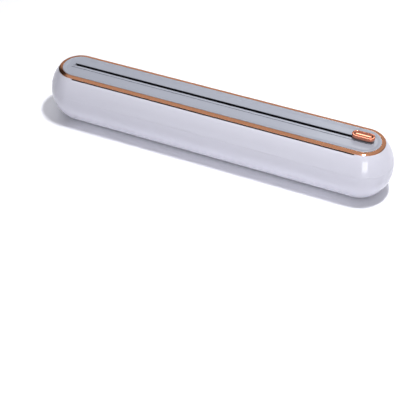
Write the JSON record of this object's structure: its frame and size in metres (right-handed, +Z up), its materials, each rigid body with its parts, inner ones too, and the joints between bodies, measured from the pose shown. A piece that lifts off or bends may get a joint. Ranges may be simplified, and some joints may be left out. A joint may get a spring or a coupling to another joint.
{
  "type": "cling film dispenser with slide cutter",
  "caption": "Free-standing kitchen film dispenser: pill-shaped casing, lift-off lid, roll of film on stub axles and a cutter that slides along a slot in the lid.",
  "frame": {"origin": "middle of the footprint, level with the underside of the feet", "axes": "+X along the length towards the parked cutter, -Y towards the side the film leaves from, +Z up"},
  "size_m": [0.387, 0.0658, 0.067],
  "materials": {
    "shell": "high gloss, white with a cool tint",
    "trim": "rose gold electroplated plastic, polished",
    "panel": "satin cool grey",
    "rail": "satin anodised, grey",
    "inner": "fine matt",
    "dark": "black acetal, satin",
    "steel": "brushed",
    "magnet": "nickel plated",
    "rubber": "matt",
    "card": "spiral-wound grey-brown board",
    "film": "tightly wound clear film, glossy"
  },
  "bodies": {
    "base": {"lower_shell": "shell", "upper_shell": "shell", "film_exit_strip": "dark", "foot_front_left": "rubber", "foot_front_right": "rubber", "foot_back_left": "rubber", "foot_back_right": "rubber", "case_screws": "steel", "case_magnet_left": "magnet", "case_magnet_right": "magnet", "roll_bracket_left": "inner", "roll_bracket_right": "inner", "bracket_screws": "steel"},
    "lid": {"trim_ring": "trim", "top_panel": "panel", "lid_frame": "inner", "lid_screws": "steel", "lid_magnet_left": "magnet", "lid_magnet_right": "magnet", "cutter_rail": "rail", "rail_stop_left": "panel", "rail_stop_right": "panel"},
    "cutter": {"slider_button": "trim", "slider_carriage": "dark", "cutter_blade": "steel", "blade_pin": "steel"},
    "roll": {"core_tube": "card", "film_winding": "film", "roll_plug_left": "inner", "roll_plug_right": "inner"}
  },
  "joints": [
    {"name": "lid_lift", "type": "slide", "parent": "base", "child": "lid", "axis": [0, 0, 1], "range_m": [0, 0.06]},
    {"name": "cutter_slide", "type": "slide", "parent": "lid", "child": "cutter", "axis": [-1, 0, 0], "range_m": [0, 0.3182]},
    {"name": "roll_spin", "type": "hinge", "parent": "base", "child": "roll", "pos_m": [0, 0, 0.027], "axis": [1, 0, 0], "continuous": true}
  ]
}
